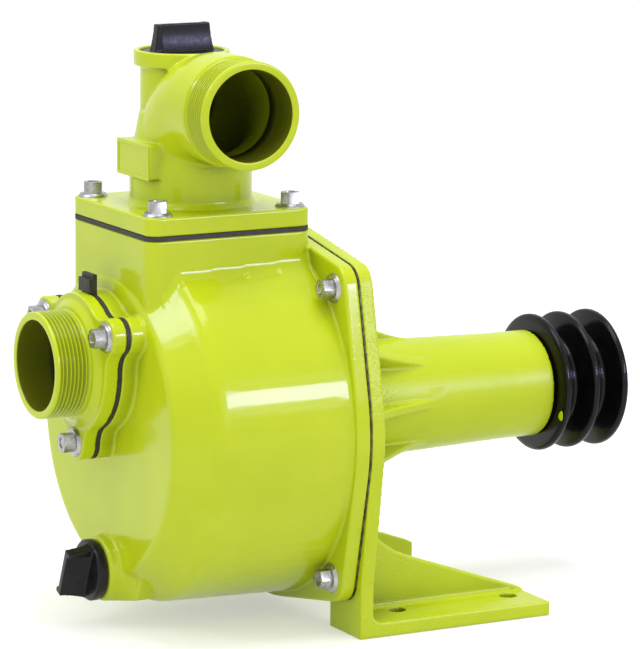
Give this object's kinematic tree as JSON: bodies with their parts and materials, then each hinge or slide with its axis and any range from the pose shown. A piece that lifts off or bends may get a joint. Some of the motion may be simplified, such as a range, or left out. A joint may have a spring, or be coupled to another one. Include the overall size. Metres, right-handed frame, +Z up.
{
  "type": "belt-driven pump",
  "caption": "Self-priming centrifugal pump on a footed bearing bracket, with a threaded suction spout, a threaded outlet elbow, screw plugs and a grooved belt pulley.",
  "frame": {"origin": "centre of the four foot holes, on the underside of the feet", "axes": "+X along the shaft towards the pulley, -X the suction side, -Y the way the outlet points, +Z up"},
  "size_m": [0.3746, 0.215, 0.3347],
  "materials": {
    "lime_paint": "glossy lime enamel over rough castings",
    "black_paint": "glossy black enamel",
    "zinc": "bright zinc plate",
    "steel": "ground steel",
    "rubber": "matte black rubber",
    "black_plastic": "moulded black plastic with a soft shine",
    "iron": "bare sand casting",
    "bronze": "as cast with machined faces",
    "ceramic": "lapped ceramic",
    "carbon": "carbon graphite"
  },
  "bodies": {
    "pump": {"casing": "lime_paint", "joint_gasket": "rubber", "joint_bolts": "zinc", "bearing_bracket": "lime_paint", "discharge_gasket": "rubber", "discharge_elbow": "lime_paint", "discharge_bolts": "zinc", "valve_gasket": "rubber", "suction_flange": "lime_paint", "suction_bolts": "zinc", "volute": "iron", "volute_o_ring": "rubber", "volute_screws": "zinc", "seal_seat": "ceramic", "seal_seat_cup": "rubber", "front_oil_seal": "rubber", "rear_oil_seal": "rubber", "front_bearing_outer": "steel", "rear_bearing_outer": "steel", "bearing_circlip": "steel"},
    "rotor": {"shaft": "steel", "impeller": "bronze", "impeller_key": "steel", "impeller_nut": "bronze", "impeller_washer": "zinc", "seal_head": "carbon", "seal_spring": "steel", "slinger": "rubber", "front_bearing_inner": "steel", "rear_bearing_inner": "steel", "pulley": "black_paint", "pulley_key": "steel", "pulley_washer": "zinc", "pulley_bolt": "zinc"},
    "front_balls": {"front_bearing_balls": "steel", "front_bearing_cage": "bronze"},
    "rear_balls": {"rear_bearing_balls": "steel", "rear_bearing_cage": "bronze"},
    "flap": {"valve_flap": "rubber", "flap_weight": "iron", "flap_washer": "zinc", "flap_rivet": "zinc"},
    "priming_ring": {"priming_plug_seal": "rubber"},
    "priming_screw": {"priming_plug": "black_plastic"},
    "drain_ring": {"drain_plug_seal": "rubber"},
    "drain_screw": {"drain_plug": "black_plastic"}
  },
  "joints": [
    {"name": "rotor_spin", "type": "hinge", "parent": "pump", "child": "rotor", "pos_m": [0, 0, 0.114], "axis": [1, 0, 0], "continuous": true},
    {"name": "front_balls_orbit", "type": "hinge", "parent": "pump", "child": "front_balls", "pos_m": [-0.0245, 0, 0.114], "axis": [1, 0, 0], "continuous": true},
    {"name": "rear_balls_orbit", "type": "hinge", "parent": "pump", "child": "rear_balls", "pos_m": [0.0755, 0, 0.114], "axis": [1, 0, 0], "continuous": true},
    {"name": "flap_swing", "type": "hinge", "parent": "pump", "child": "flap", "pos_m": [-0.19195, 0, 0.1829], "axis": [0, -1, 0], "range_deg": [0, 45]},
    {"name": "priming_lift", "type": "slide", "parent": "pump", "child": "priming_ring", "axis": [0, 0, 1], "range_m": [0, 0.012]},
    {"name": "priming_turn", "type": "hinge", "parent": "priming_ring", "child": "priming_screw", "pos_m": [-0.1296, 0.0116, 0.318], "axis": [0, 0, 1], "range_deg": [0, 1440]},
    {"name": "drain_lift", "type": "slide", "parent": "pump", "child": "drain_ring", "axis": [-1, 0, 0], "range_m": [0, 0.012]},
    {"name": "drain_turn", "type": "hinge", "parent": "drain_ring", "child": "drain_screw", "pos_m": [-0.192, 0, 0.032], "axis": [-1, 0, 0], "range_deg": [0, 1440]}
  ],
  "couplings": [
    {"joint": "front_balls_orbit", "follows": "rotor_spin", "ratio": 0.4065},
    {"joint": "rear_balls_orbit", "follows": "rotor_spin", "ratio": 0.4065},
    {"joint": "priming_lift", "follows": "priming_turn", "m_per_rad": 0.00047746},
    {"joint": "drain_lift", "follows": "drain_turn", "m_per_rad": 0.00047746}
  ]
}
